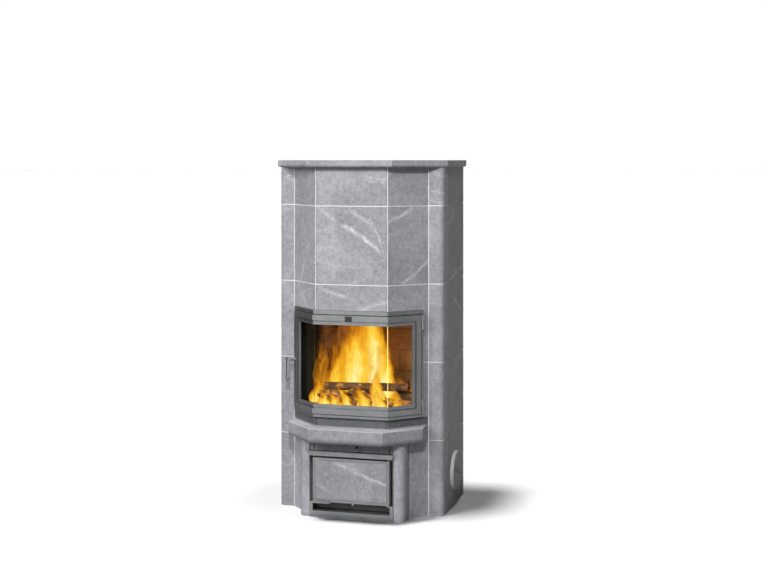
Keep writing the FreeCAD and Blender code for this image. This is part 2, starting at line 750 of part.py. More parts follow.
def flue_and_soot_covers():
    collar = cylinder(flue_bore_radius + flue_wall, vec(0, inner_back_y, flue_height), vec(0, 1, 0),
                      wall_thickness)
    bore = cylinder(flue_bore_radius, vec(0, inner_back_y - overrun, flue_height), vec(0, 1, 0),
                    wall_thickness + 2 * overrun)
    save("flue_collar", collar.cut(bore))
    y = back_y - soot_from_back
    out = vec(1, 0, 0)
    disc = cylinder(soot_cover_radius, vec(half_width + seat_gap, y, soot_height), out, soot_cover_thickness)
    rim_x = half_width + seat_gap + soot_cover_thickness
    rim = [edge for edge in disc.Edges if edge.Closed and abs(edge.CenterOfMass.x - rim_x) < running_gap]
    disc = disc.makeFillet(soot_edge_radius, rim)
    plug = cylinder(soot_hole_radius, vec(half_width - soot_plug_length, y, soot_height), out,
                    soot_plug_length + seat_gap)
    knob = cylinder(soot_knob_radius, vec(rim_x, y, soot_height), out, soot_knob_length)
    cover = disc.fuse(plug)
    save("soot_cover_right", [cover, knob])
    save("soot_cover_left", [mirrored(cover), mirrored(knob)])


# Mortar between the stones
def mortar():
    beds = []
    for level in course_levels:
        bed = shell(level - half_gap, level + half_gap, mortar_inset)
        if level < surround_top:
            reach = bay_root + half_gap if level < shelf_underside else bay_root
            bay = box(-reach, reach, bay_y - overrun, pilaster_y + wall_thickness + overrun,
                      level - joint_gap, level + joint_gap)
            bed = bed.cut(bay)
        beds.append(bed)
    level = course_levels[1]
    for side, setback in ((-1, surround_setback_latch), (1, surround_setback_hinge)):
        facet = shell(level - half_gap, level + half_gap, mortar_inset)
        keep = facet_block(side, -wall_thickness, setback - fit_gap, -2 * wall_thickness, overrun,
                           level - half_gap, level + half_gap)
        strip = box(0, bay_root - fit_gap, bay_y, pilaster_y + wall_thickness,
                    level - joint_gap, level + joint_gap)
        beds.append(facet.common(keep).common(strip if side > 0 else mirrored(strip)))
    save("mortar_beds", beds)
    uprights = []
    bottoms = [0.0] + [level + half_gap for level in course_levels]
    tops = [level - half_gap for level in course_levels] + [slab_bottom]
    corner_y = pilaster_y + pilaster_return
    for low, high in zip(bottoms, tops):
        ring = shell(low, high, mortar_inset)
        side_joint = box(inner_half_width, half_width, corner_y - half_gap, corner_y + half_gap, low, high)
        uprights += pair(ring.common(side_joint))
        back_joint = box(inner_half_width - half_gap, inner_half_width, inner_back_y, back_y, low, high)
        uprights += pair(ring.common(back_joint))
    bay_spans = [(0.0, course_levels[1] - half_gap),
                 (course_levels[1] + half_gap, course_levels[2] - half_gap)]
    bay_spans += list(zip(bottoms[3:], tops[3:]))
    for low, high in bay_spans:
        ring = shell(low, high, mortar_inset)
        root_joint = box(bay_root - half_gap, bay_root + half_gap, bay_y, pilaster_y + wall_thickness,
                         low, high)
        uprights += pair(ring.common(root_joint))
    front_spans = [(shelf_top, sill_top), (surround_top + fit_gap, course_levels[2] - half_gap)]
    front_spans += list(zip(bottoms[3:], tops[3:]))
    for low, high in front_spans:
        ring = shell(low, high, mortar_inset)
        corner_joint = box(bay_half - half_gap, bay_half + half_gap, bay_y, pilaster_y, low, high)
        uprights += pair(ring.common(corner_joint))
    save("mortar_uprights", uprights)


os.makedirs("parts", exist_ok=True)
stone_courses()
door_jambs()
sill_stones()
top_slab()
hearth_shelf()
base_front()
hatch_inner, hatch_front = hatch_parts()
ash_drawer(hatch_inner, hatch_front)
air_slide()
door_handle(door_hinges(fire_door(), door_surround()))
inner_core()
flue_and_soot_covers()
mortar()
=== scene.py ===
import json
import math

import bpy
import numpy as np
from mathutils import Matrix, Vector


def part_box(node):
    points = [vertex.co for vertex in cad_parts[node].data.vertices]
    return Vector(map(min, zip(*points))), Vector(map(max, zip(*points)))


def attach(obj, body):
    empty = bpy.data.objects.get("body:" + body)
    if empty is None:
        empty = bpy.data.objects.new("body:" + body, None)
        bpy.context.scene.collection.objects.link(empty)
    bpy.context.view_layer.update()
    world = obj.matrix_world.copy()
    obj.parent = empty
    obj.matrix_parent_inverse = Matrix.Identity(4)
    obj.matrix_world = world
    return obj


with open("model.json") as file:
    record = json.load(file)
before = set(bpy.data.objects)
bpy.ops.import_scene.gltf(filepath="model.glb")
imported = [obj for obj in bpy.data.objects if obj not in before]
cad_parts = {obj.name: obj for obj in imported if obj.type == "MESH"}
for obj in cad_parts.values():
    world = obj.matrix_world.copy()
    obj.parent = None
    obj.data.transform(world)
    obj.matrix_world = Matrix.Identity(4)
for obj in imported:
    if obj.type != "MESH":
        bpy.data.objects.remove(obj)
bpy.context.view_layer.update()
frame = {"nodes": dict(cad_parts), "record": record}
nodes = frame["nodes"]
print("frame loaded:", len(nodes), "nodes")


# small helpers for shader trees: what they are fed is a number, a colour or another node's output
def addNode(tree, kind, **settings):
    node = tree.nodes.new(kind)
    for name, value in settings.items():
        setattr(node, name, value)
    return node


def setInputs(node, **values):
    for name, value in values.items():
        node.inputs[name.replace("_", " ")].default_value = value
    return node


def feed(tree, socket, value):
    if isinstance(value, (int, float, tuple)):
        socket.default_value = value
    else:
        tree.links.new(value, socket)


def work(tree, operation, first, second=None, clamp=False):
    node = addNode(tree, "ShaderNodeMath", operation=operation, use_clamp=clamp)
    feed(tree, node.inputs[0], first)
    if second is not None:
        feed(tree, node.inputs[1], second)
    return node.outputs[0]


def plus(tree, first, second, clamp=False):
    return work(tree, "ADD", first, second, clamp)


def minus(tree, first, second, clamp=False):
    return work(tree, "SUBTRACT", first, second, clamp)


def times(tree, first, second, clamp=False):
    return work(tree, "MULTIPLY", first, second, clamp)


def over(tree, first, second, clamp=False):
    return work(tree, "DIVIDE", first, second, clamp)


def most(tree, first, second):
    return work(tree, "MAXIMUM", first, second)


def least(tree, first, second):
    return work(tree, "MINIMUM", first, second)


def unsigned(tree, value):
    return work(tree, "ABSOLUTE", value)


def fade(tree, value, width):
    # 1 where the value is zero, falling to 0 where it reaches the width
    return minus(tree, 1.0, over(tree, value, width), True)


def splitXyz(tree, vector):
    parts = addNode(tree, "ShaderNodeSeparateXYZ")
    tree.links.new(vector, parts.inputs[0])
    return parts.outputs


def joinXyz(tree, x, y, z=0.0):
    joined = addNode(tree, "ShaderNodeCombineXYZ")
    for socket, value in zip(joined.inputs, (x, y, z)):
        feed(tree, socket, value)
    return joined.outputs[0]


def gray(level):
    return (level, level, level, 1)


def mixColor(tree, factor, first, second, blend="MIX"):
    node = addNode(tree, "ShaderNodeMix", data_type="RGBA", blend_type=blend)
    for socket, value in ((node.inputs[0], factor), (node.inputs[6], first), (node.inputs[7], second)):
        feed(tree, socket, value)
    return node.outputs[2]


def ramp(tree, value, stops):
    node = addNode(tree, "ShaderNodeValToRGB")
    while len(node.color_ramp.elements) < len(stops):
        node.color_ramp.elements.new(0.5)
    for element, (place, color) in zip(node.color_ramp.elements, stops):
        element.position = place
        element.color = color if len(color) == 4 else (*color, 1)
    tree.links.new(value, node.inputs[0])
    return node.outputs[0]


def noise(tree, vector, scale, detail=4.0, rough=0.6, distortion=0.0):
    node = addNode(tree, "ShaderNodeTexNoise")
    setInputs(node, Scale=scale, Detail=detail, Roughness=rough, Distortion=distortion)
    tree.links.new(vector, node.inputs["Vector"])
    return node.outputs["Fac"]


def newGroup(name, inputs, outputs):
    # every group takes a vector and the named values, which start as given
    tree = bpy.data.node_groups.new(name, "ShaderNodeTree")
    tree.interface.new_socket("Vector", in_out="INPUT", socket_type="NodeSocketVector")
    for label, value in inputs.items():
        socket = tree.interface.new_socket(label, in_out="INPUT", socket_type="NodeSocketFloat")
        socket.default_value = value
    for label, kind in outputs.items():
        tree.interface.new_socket(label, in_out="OUTPUT", socket_type=kind)
    entry = addNode(tree, "NodeGroupInput").outputs
    leave = addNode(tree, "NodeGroupOutput").inputs
    return tree, entry, leave


def useGroup(tree, group, vector, **values):
    node = addNode(tree, "ShaderNodeGroup")
    node.node_tree = group
    tree.links.new(vector, node.inputs["Vector"])
    return setInputs(node, **values).outputs


def newMaterial(name, **values):
    material = bpy.data.materials.new(name)
    material.use_nodes = True
    tree = material.node_tree
    shader = tree.nodes["Principled BSDF"]
    setInputs(shader, **values)
    coords = addNode(tree, "ShaderNodeTexCoord").outputs["Object"]
    return material, tree, shader, coords


def addBump(tree, shader, height, strength, distance):
    bump = addNode(tree, "ShaderNodeBump")
    setInputs(bump, Strength=strength, Distance=distance)
    tree.links.new(height, bump.inputs["Height"])
    tree.links.new(bump.outputs[0], shader.inputs["Normal"])


# soapstone: mottled grey, pale ragged veins, dark specks, all shifted by seed and by course
courseLook = dict(start=0.382, height=0.396, shift=3.71, seedShift=5.3, sideShare=0.63)
stoneTones = dict(dark=(0.19, 0.19, 0.208), middle=(0.325, 0.325, 0.353), light=(0.48, 0.48, 0.517),
                  vein=(0.68, 0.685, 0.7, 1), marked=(0.7, 0.705, 0.715, 1), speck=(0.12, 0.12, 0.125, 1))


def stoneGrainGroup():
    tree, entry, leave = newGroup(
        "stoneGrain", dict(Seed=0.0, Vein=1.0, Shade=1.0),
        dict(Color="NodeSocketColor", Height="NodeSocketFloat", Rough="NodeSocketFloat"))
    up = splitXyz(tree, entry["Vector"])[2]
    course = over(tree, minus(tree, up, courseLook["start"]), courseLook["height"])
    course = work(tree, "FLOOR", course)
    shift = plus(tree, times(tree, course, courseLook["shift"]),
                 times(tree, entry["Seed"], courseLook["seedShift"]))
    moved = addNode(tree, "ShaderNodeVectorMath", operation="ADD")
    tree.links.new(entry["Vector"], moved.inputs[0])
    tree.links.new(joinXyz(tree, shift, times(tree, shift, courseLook["sideShare"])), moved.inputs[1])
    place = moved.outputs[0]
    cloud = noise(tree, place, 6.0, 6.0, 0.62, 0.4)
    mottle = noise(tree, place, 46.0, 5.0, 0.7)
    grain = noise(tree, place, 190.0, 3.0, 0.7)
    tone = plus(tree, times(tree, cloud, 0.36), times(tree, mottle, 0.4))
    tone = plus(tree, tone, times(tree, minus(tree, grain, 0.17), 0.42))
    base = ramp(tree, tone, [(0.34, stoneTones["dark"]), (0.52, stoneTones["middle"]),
                             (0.72, stoneTones["light"])])
    # veins: thin ridges of a warped noise, laid on a slant and kept to a few patches
    slant = addNode(tree, "ShaderNodeMapping")
    setInputs(slant, Rotation=(0.25, 0.95, 0.3), Scale=(0.8, 1.2, 2.6))
    tree.links.new(place, slant.inputs["Vector"])
    ridge = unsigned(tree, minus(tree, noise(tree, slant.outputs[0], 1.7, 3.0, 0.5, 0.6), 0.5))
    line = minus(tree, 1.0, times(tree, ridge, 60.0), True)
    broad = minus(tree, 1.0, times(tree, ridge, 14.0), True)
    where = ramp(tree, noise(tree, place, 2.6, 2.0, 0.5), [(0.53, gray(0)), (0.62, gray(1))])
    ragged = ramp(tree, noise(tree, place, 60.0, 4.0, 0.7), [(0.35, gray(0.15)), (0.6, gray(1))])
    veins = plus(tree, times(tree, line, 0.6), times(tree, broad, 0.16), True)
    veins = times(tree, times(tree, veins, where), ragged)
    veins = times(tree, veins, entry["Vein"], True)
    veined = mixColor(tree, veins, base, stoneTones["vein"])
    # specks sit in about a quarter of the cells, more of them in some patches than in others
    spots = addNode(tree, "ShaderNodeTexVoronoi")
    setInputs(spots, Scale=70.0)
    tree.links.new(place, spots.inputs["Vector"])
    draw = addNode(tree, "ShaderNodeSeparateColor")
    tree.links.new(spots.outputs["Color"], draw.inputs[0])
    chosen = work(tree, "GREATER_THAN", draw.outputs[0], 0.74)
    speck = ramp(tree, spots.outputs["Distance"], [(0.14, gray(1)), (0.3, gray(0))])
    patch = ramp(tree, noise(tree, place, 7.0, 2.0), [(0.46, gray(0)), (0.6, gray(0.85))])
    speck = times(tree, times(tree, speck, chosen), patch)
    specked = mixColor(tree, speck, veined, stoneTones["speck"])
    # Shade multiplies the colour: below 1 it is painted shade, above 1 painted light
    paintedLight = addNode(tree, "ShaderNodeCombineColor")
    for socket in paintedLight.inputs:
        tree.links.new(entry["Shade"], socket)
    tree.links.new(mixColor(tree, 1.0, specked, paintedLight.outputs[0], "MULTIPLY"), leave["Color"])
    tree.links.new(plus(tree, times(tree, grain, 0.5), times(tree, mottle, 0.5)), leave["Height"])
    tree.links.new(plus(tree, 0.5, times(tree, mottle, 0.22)), leave["Rough"])
    return tree


# one marked vein: height above the bowed line z = z0 + slope (x - x0) + bow (x - x0)^2, thinned and roughened
def markedVeinGroup():
    tree, entry, leave = newGroup(
        "markedVein", dict(X0=0.0, Z0=0.0, Slope=0.0, Bow=0.0, Reach=0.1, Width=0.004, Strength=0.8),
        dict(Mask="NodeSocketFloat"))
    vector = entry["Vector"]
    x, y, z = splitXyz(tree, vector)
    along = minus(tree, x, entry["X0"])
    rise = times(tree, along, entry["Slope"])
    bowed = times(tree, times(tree, along, along), entry["Bow"])
    height = minus(tree, z, plus(tree, entry["Z0"], plus(tree, rise, bowed)))
    warp = minus(tree, noise(tree, vector, 22.0, 5.0, 0.62), 0.5)
    curl = minus(tree, noise(tree, vector, 9.0, 3.0, 0.5), 0.5)
    height = plus(tree, height, times(tree, warp, 0.022))
    height = plus(tree, height, times(tree, curl, 0.035))
    off = unsigned(tree, height)
    line = fade(tree, off, times(tree, entry["Width"], noise(tree, vector, 30.0, 3.0, 0.6)))
    haze = fade(tree, off, 0.02)
    ends = times(tree, fade(tree, unsigned(tree, along), entry["Reach"]), 3.0, True)
    patchy = ramp(tree, noise(tree, vector, 70.0, 4.0, 0.7), [(0.34, gray(0.1)), (0.6, gray(1))])
    broken = ramp(tree, noise(tree, vector, 38.0, 3.0, 0.6), [(0.36, gray(0.25)), (0.55, gray(1))])
    wisps = times(tree, times(tree, haze, 0.34), patchy)
    core = times(tree, times(tree, line, 1.5, True), times(tree, broken, patchy))
    both = plus(tree, times(tree, core, entry["Strength"]), wisps, True)
    tree.links.new(times(tree, both, ends, True), leave["Mask"])
    return tree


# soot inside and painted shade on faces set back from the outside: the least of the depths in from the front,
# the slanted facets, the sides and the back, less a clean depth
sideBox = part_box("side_slabs")
sootAndShadeLook = dict(front=0.2735, corner=0.462, side=sideBox[1][0], back=sideBox[1][1], slantShare=0.7071,
                ragged=0.004, sharp=400.0)
stoneCleanDepth = 0.022
sootAndShadeColor = (0.004, 0.0055, 0.0045, 1)


def sootAndShadeInsideGroup():
    tree, entry, leave = newGroup("sootAndShadeInside", dict(Depth=0.0), dict(Mask="NodeSocketFloat"))
    x, y, z = splitXyz(tree, entry["Vector"])
    aside = unsigned(tree, x)
    front = plus(tree, sootAndShadeLook["front"], y)
    slant = minus(tree, sootAndShadeLook["corner"], minus(tree, aside, y))
    slant = times(tree, slant, sootAndShadeLook["slantShare"])
    side = minus(tree, sootAndShadeLook["side"], aside)
    back = minus(tree, sootAndShadeLook["back"], y)
    deep = least(tree, least(tree, side, back), least(tree, front, slant))
    deep = minus(tree, deep, entry["Depth"])
    uneven = minus(tree, noise(tree, entry["Vector"], 60.0), 0.5)
    deep = plus(tree, deep, times(tree, uneven, sootAndShadeLook["ragged"]))
    tree.links.new(times(tree, deep, sootAndShadeLook["sharp"], True), leave["Mask"])
    return tree


# paint and metal: fine peel for the bump, and patches that vary the tone and the gloss
def finePeelGroup():
    tree, entry, leave = newGroup(
        "finePeel", dict(Scale=400.0, Rough=0.4, Spread=0.12),
        dict(Mask="NodeSocketFloat", Height="NodeSocketFloat", Rough="NodeSocketFloat"))
    peel = addNode(tree, "ShaderNodeTexNoise")
    setInputs(peel, Detail=3.0, Roughness=0.6)
    tree.links.new(entry["Vector"], peel.inputs["Vector"])
    tree.links.new(entry["Scale"], peel.inputs["Scale"])
    patch = noise(tree, entry["Vector"], 11.0, 5.0, 0.65)
    spread = times(tree, minus(tree, patch, 0.5), entry["Spread"])
    tree.links.new(patch, leave["Mask"])
    tree.links.new(peel.outputs["Fac"], leave["Height"])
    tree.links.new(plus(tree, entry["Rough"], spread), leave["Rough"])
    return tree


stoneGrain = stoneGrainGroup()
markedVein = markedVeinGroup()
sootAndShadeInside = sootAndShadeInsideGroup()
finePeel = finePeelGroup()


# mixes in the near-black of soot and painted shade where the mask is set
def addSootAndShade(tree, coords, color, depth):
    sootAndShadeMask = useGroup(tree, sootAndShadeInside, coords, Depth=depth)["Mask"]
    return sootAndShadeMask, mixColor(tree, sootAndShadeMask, color, sootAndShadeColor)


# marks lie in the front view, or for sideways stone in the side view, where y stands for x
def soapstoneMaterial(seed, vein=1.0, paintedLight=1.0, marks=(), sideways=False, sootedAndShaded=False):
    material, tree, shader, coords = newMaterial("soapstone_%02d" % seed, Specular_IOR_Level=0.18)
    # paintedLight scales the stone's colour as painted light or painted shade
    grain = useGroup(tree, stoneGrain, coords, Seed=float(seed), Vein=vein, Shade=paintedLight)
    color = grain["Color"]
    view = coords
    if sideways:
        x, y, z = splitXyz(tree, coords)
        view = joinXyz(tree, y, x, z)
    for x0, z0, slope, bow, reach, width, strength in marks:
        mark = useGroup(tree, markedVein, view, X0=x0, Z0=z0, Slope=slope, Bow=bow, Reach=reach,
                        Width=width, Strength=strength)
        color = mixColor(tree, mark["Mask"], color, stoneTones["marked"])
    if sootedAndShaded:
        color = addSootAndShade(tree, coords, color, stoneCleanDepth)[1]
    tree.links.new(color, shader.inputs["Base Color"])
    tree.links.new(grain["Rough"], shader.inputs["Roughness"])
    addBump(tree, shader, grain["Height"], 0.25, 0.0015)
    return material


# mortar is pale and sandy, and the two short joints between the sill stones are darkened with painted shade,
# like the sill stones round them
mortarLook = dict(low=(0.74, 0.74, 0.75), high=(0.88, 0.88, 0.88), sillShade=(0.2, 0.2, 0.205, 1),
                  sillHalfWidth=0.3, sillMiddle=0.483, sillHalfHeight=0.022)


def mortarMaterial():
    material, tree, shader, coords = newMaterial("pale_mortar", Roughness=0.9, Specular_IOR_Level=0.2)
    sand = noise(tree, coords, 300.0, 3.0, 0.7)
    wide = noise(tree, coords, 12.0, 3.0)
    tone = plus(tree, times(tree, sand, 0.5), times(tree, wide, 0.5))
    color = ramp(tree, tone, [(0.3, mortarLook["low"]), (0.65, mortarLook["high"])])
    x, y, z = splitXyz(tree, coords)
    # the short sill joints get painted shade
    across = work(tree, "LESS_THAN", unsigned(tree, x), mortarLook["sillHalfWidth"])
    away = unsigned(tree, minus(tree, z, mortarLook["sillMiddle"]))
    sillShadeMask = times(tree, across, work(tree, "LESS_THAN", away, mortarLook["sillHalfHeight"]))
    color = mixColor(tree, sillShadeMask, color, mortarLook["sillShade"])
    tree.links.new(addSootAndShade(tree, coords, color, stoneCleanDepth)[1], shader.inputs["Base Color"])
    addBump(tree, shader, sand, 0.4, 0.001)
    return material


def paintedMaterial(name, low, high, rough, metallic, peelScale=420.0, strength=0.08, sootedAndShaded=False):
    material, tree, shader, coords = newMaterial(name, Metallic=metallic)
    peel = useGroup(tree, finePeel, coords, Scale=peelScale, Rough=rough)
    color = ramp(tree, peel["Mask"], [(0.3, low), (0.7, high)])
    roughness = peel["Rough"]
    # on paint the clean depth is nothing, so every face set back from the outside gets soot and painted shade
    if sootedAndShaded:
        sootAndShadeMask, color = addSootAndShade(tree, coords, color, 0.0)
        roughness = most(tree, roughness, times(tree, sootAndShadeMask, 0.9))
    tree.links.new(color, shader.inputs["Base Color"])
    tree.links.new(roughness, shader.inputs["Roughness"])
    addBump(tree, shader, peel["Height"], strength, 0.0006)
    return material


# a disc's paint with a painted highlight along its edge, where light catches the rim: distance from the
# disc's middle in the side view, over its radius
coverLook = dict(low=(0.17, 0.172, 0.178), high=(0.21, 0.212, 0.219), wearAndPaintedLight=(0.66, 0.662, 0.672, 1))


def coverMaterial(middle, radius):
    material, tree, shader, coords = newMaterial("cover_paint", Metallic=0.0, Specular_IOR_Level=0.15)
    peel = useGroup(tree, finePeel, coords, Scale=420.0, Rough=0.55)
    x, y, z = splitXyz(tree, coords)
    ahead = minus(tree, y, middle[1])
    above = minus(tree, z, middle[2])
    square = plus(tree, times(tree, ahead, ahead), times(tree, above, above))
    away = over(tree, work(tree, "SQRT", square), radius)
    plain = ramp(tree, peel["Mask"], [(0.3, coverLook["low"]), (0.7, coverLook["high"])])
    # the rim is painted bright, a painted highlight for light caught on the edge
    wearAndPaintedLight = ramp(tree, away, [(0.95, gray(0)), (0.995, gray(1))])
    tree.links.new(mixColor(tree, wearAndPaintedLight, plain, coverLook["wearAndPaintedLight"]), shader.inputs["Base Color"])
    tree.links.new(peel["Rough"], shader.inputs["Roughness"])
    addBump(tree, shader, peel["Height"], 0.08, 0.0006)
    return material


# clear glass that lets light through unbent, and where an edge is named, a painted glow of firelight along it
glassLook = dict(tint=(0.97, 0.99, 0.97, 1), edgeWidth=0.003, edgeGlow=(1.0, 0.68, 0.2, 1), edgeStrength=1.1)


def glassMaterial(name, edge=None):
    material, tree, shader, coords = newMaterial(
        name, Base_Color=glassLook["tint"], Transmission_Weight=1.0, IOR=1.03, Specular_IOR_Level=0.3)
    smear = noise(tree, coords, 14.0, 4.0, 0.6)
    tree.links.new(ramp(tree, smear, [(0.45, gray(0.0)), (0.8, gray(0.06))]), shader.inputs["Roughness"])
    if edge is not None:
        away = unsigned(tree, minus(tree, splitXyz(tree, coords)[0], edge))
        uneven = ramp(tree, noise(tree, coords, 9.0, 3.0), [(0.3, gray(0.7)), (0.6, gray(1))])
        lit = times(tree, fade(tree, away, glassLook["edgeWidth"]), uneven)
        glow = mixColor(tree, lit, gray(0), glassLook["edgeGlow"])
        tree.links.new(glow, shader.inputs["Emission Color"])
        setInputs(shader, Emission_Strength=glassLook["edgeStrength"])
    clear = addNode(tree, "ShaderNodeBsdfTransparent")
    path = addNode(tree, "ShaderNodeLightPath")
    mix = addNode(tree, "ShaderNodeMixShader")
    tree.links.new(path.outputs["Is Shadow Ray"], mix.inputs[0])
    tree.links.new(shader.outputs[0], mix.inputs[1])
    tree.links.new(clear.outputs[0], mix.inputs[2])
    tree.links.new(mix.outputs[0], tree.nodes["Material Output"].inputs["Surface"])
    return material


# fired brick: coursed blocks on whichever face is seen, with patchy soot, and ahead of a given line soot with
# painted shade that blackens the brick
brickLook = dict(width=0.22, height=0.113, joint=0.0022, light=(0.42, 0.195, 0.085, 1),
                 dark=(0.335, 0.148, 0.062, 1), mortar=(0.1, 0.048, 0.024, 1), wearAndPaintedLight=(0.32, 0.18, 0.09, 1),
                 sootAndShadeLow=(0.004, 0.006, 0.0045), sootAndShadeHigh=(0.012, 0.016, 0.012), sootAndShadeFade=0.05)


def firebrickMaterial(name, sootAndShadeLevel, sootAndShadeFront=None):
    material, tree, shader, coords = newMaterial(name, Roughness=0.85, Specular_IOR_Level=0.15)
    x, y, z = splitXyz(tree, coords)
    brick = addNode(tree, "ShaderNodeTexBrick")
    setInputs(brick, Scale=1.0, Mortar_Size=brickLook["joint"], Mortar_Smooth=0.3,
              Brick_Width=brickLook["width"], Row_Height=brickLook["height"], Color1=brickLook["light"],
              Color2=brickLook["dark"], Mortar=brickLook["mortar"])
    tree.links.new(joinXyz(tree, plus(tree, x, y), z), brick.inputs["Vector"])
    patch = noise(tree, coords, 16.0, 5.0, 0.65)
    smoke = ramp(tree, noise(tree, coords, 5.0, 4.0, 0.6), [(0.42, gray(0)), (0.7, gray(0.7))])
    sootAndShade = plus(tree, smoke, sootAndShadeLevel, True)
    # ahead of the given line the brick is blackened with soot and painted shade
    if sootAndShadeFront is not None:
        sootAndShade = most(tree, sootAndShade, over(tree, minus(tree, sootAndShadeFront, y), brickLook["sootAndShadeFade"], True))
    wearAndPaintedLight = mixColor(tree, times(tree, patch, 0.5), brick.outputs["Color"], brickLook["wearAndPaintedLight"])
    black = ramp(tree, patch, [(0.35, brickLook["sootAndShadeLow"]), (0.65, brickLook["sootAndShadeHigh"])])
    tree.links.new(mixColor(tree, sootAndShade, wearAndPaintedLight, black), shader.inputs["Base Color"])
    grit = minus(tree, noise(tree, coords, 120.0, 3.0), times(tree, brick.outputs["Fac"], 1.5))
    addBump(tree, shader, grit, 0.5, 0.002)
    return material


def boardMaterial():
    material, tree, shader, coords = newMaterial("rigid_board", Roughness=0.95)
    fleck = noise(tree, coords, 180.0, 3.0, 0.7)
    color = ramp(tree, fleck, [(0.35, (0.62, 0.6, 0.54)), (0.65, (0.8, 0.78, 0.72))])
    tree.links.new(color, shader.inputs["Base Color"])
    addBump(tree, shader, fleck, 0.3, 0.001)
    return material


def ropeMaterial():
    material, tree, shader, coords = newMaterial("braided_seal", Roughness=0.95)
    weave = addNode(tree, "ShaderNodeTexWave", bands_direction="DIAGONAL")
    setInputs(weave, Scale=120.0, Distortion=2.0)
    tree.links.new(coords, weave.inputs["Vector"])
    color = ramp(tree, weave.outputs["Fac"], [(0.2, (0.06, 0.06, 0.06)), (0.8, (0.26, 0.25, 0.24))])
    tree.links.new(color, shader.inputs["Base Color"])
    addBump(tree, shader, weave.outputs["Fac"], 0.6, 0.001)
    return material


stovePaint = dict(low=(0.195, 0.199, 0.205), high=(0.248, 0.252, 0.259), rough=0.42, metallic=0.8)
blackPaint = dict(low=(0.008, 0.008, 0.009), high=(0.018, 0.018, 0.019), rough=0.55, metallic=0.2)
brightSteel = dict(low=(0.28, 0.285, 0.29), high=(0.37, 0.375, 0.38), rough=0.32, metallic=0.85,
                   peelScale=700.0, strength=0.04)
roughIron = dict(low=(0.02, 0.02, 0.021), high=(0.05, 0.048, 0.046), rough=0.7, metallic=0.4,
                 peelScale=160.0, strength=0.35)
drawerPaint = dict(low=(0.045, 0.05, 0.054), high=(0.065, 0.07, 0.075), rough=0.6, metallic=0.1)
slidePaint = dict(low=(0.1, 0.102, 0.106), high=(0.14, 0.143, 0.148), rough=0.5, metallic=0.4)

# what each material slot wears, then the nodes that differ from the rest of their slot
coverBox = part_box("soot_cover_right")
coverMiddle = (np.array(coverBox[0]) + coverBox[1]) / 2
coverRadius = (coverBox[1][2] - coverBox[0][2]) / 2
slotMaterials = {
    "mortar": mortarMaterial(),
    "stove_metal": paintedMaterial("satin_stove_paint", **stovePaint, sootedAndShaded=True),
    "black_metal": paintedMaterial("matt_black", **blackPaint),
    "cover_metal": coverMaterial(coverMiddle, coverRadius),
    "steel": paintedMaterial("bright_steel", **brightSteel),
    "cast_iron": paintedMaterial("rough_iron", **roughIron),
    "glass": glassMaterial("fire_glass"),
    "firebrick": firebrickMaterial("fired_brick", 0.0),
    "gasket": ropeMaterial(),
    "insulation": boardMaterial(),
}
hatchMaterial = paintedMaterial("hatch_paint", **stovePaint)
slideMaterial = paintedMaterial("slide_paint", **slidePaint)
nodeMaterials = {
    # the front of the left cheek is blackened with soot and painted shade
    "firebox_left": firebrickMaterial("sooted_and_shaded_brick", 0.35, 0.1),
    "firebox_roof": firebrickMaterial("smoked_brick", 0.8),
    "ash_drawer": paintedMaterial("drawer_paint", **drawerPaint),
    "hatch_frame": hatchMaterial,
    "hatch_door": hatchMaterial,
    "air_slide_track": slideMaterial,
    "air_slide_plate": slideMaterial,
    "glass_right": glassMaterial("fire_glass_edge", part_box("glass_right")[0][0]),
}

# stones that reach inside wear soot and painted shade there
# and a mark is x0, z0, slope, bow, reach, width, strength
sootedAndShadedStones = ["corner_stones_lower", "corner_stones_middle", "door_jambs", "bay_facets_lintel",
                "bay_front_lintel", "sill_stones", "side_slabs"]
stoneLooks = {
    "bay_front_upper": dict(seed=3, vein=0.5, marks=[
        (0.05, 1.42, -0.62, -1.6, 0.115, 0.034, 0.7), (0.13, 1.45, -2.2, -22.0, 0.046, 0.026, 0.4),
        (-0.13, 1.53, -0.7, 0.0, 0.06, 0.02, 0.24), (0.05, 1.51, -0.6, 0.0, 0.07, 0.016, 0.26)]),
    "bay_facets_upper": dict(seed=4, vein=0.6, marks=[
        (0.305, 1.232, 1.0, 0.0, 0.07, 0.012, 0.6), (0.24, 1.525, 0.63, 0.0, 0.06, 0.024, 0.45),
        (-0.29, 1.225, 3.4, 0.0, 0.02, 0.03, 0.4)]),
    "bay_facets_lintel": dict(seed=29, vein=0.8, marks=[(-0.28, 1.085, -1.4, 0.0, 0.03, 0.024, 0.45)]),
    "bay_front_lintel": dict(seed=6, vein=0.8, marks=[
        (0.12, 1.072, 0.22, 0.0, 0.1, 0.02, 0.25), (-0.09, 1.125, -0.31, 1.0, 0.075, 0.018, 0.3)]),
    "hatch_stone": dict(seed=8, vein=0.5, marks=[(0.05, 0.232, -0.34, -0.3, 0.15, 0.022, 0.7)]),
    # the sill stones under the door are darkened with painted shade
    "sill_stones": dict(seed=9, vein=0.4, paintedLight=0.4),
    "top_slab": dict(seed=5, vein=0.4),
    # the base columns and facets are lightened with painted light
    "base_columns": dict(seed=25, vein=0.8, paintedLight=1.18),
    "base_facets": dict(seed=26, vein=0.8, paintedLight=1.22),
    # the side slabs are darkened with painted shade
    "side_slabs": dict(seed=73, vein=0.8, paintedLight=0.78, sideways=True, marks=[
        (0.073, 1.506, 0.57, 0.0, 0.08, 0.03, 0.25), (0.185, 1.206, 0.15, 0.25, 0.2, 0.022, 0.3),
        (0.219, 1.042, -0.53, 0.0, 0.1, 0.03, 0.3)]),
    "side_slabs_base": dict(seed=74, vein=0.8, paintedLight=0.84),
}
firstPlainSeed = 20
slotOf = {part["node"]: part["material_slot"] for part in frame["record"]["subparts"]}
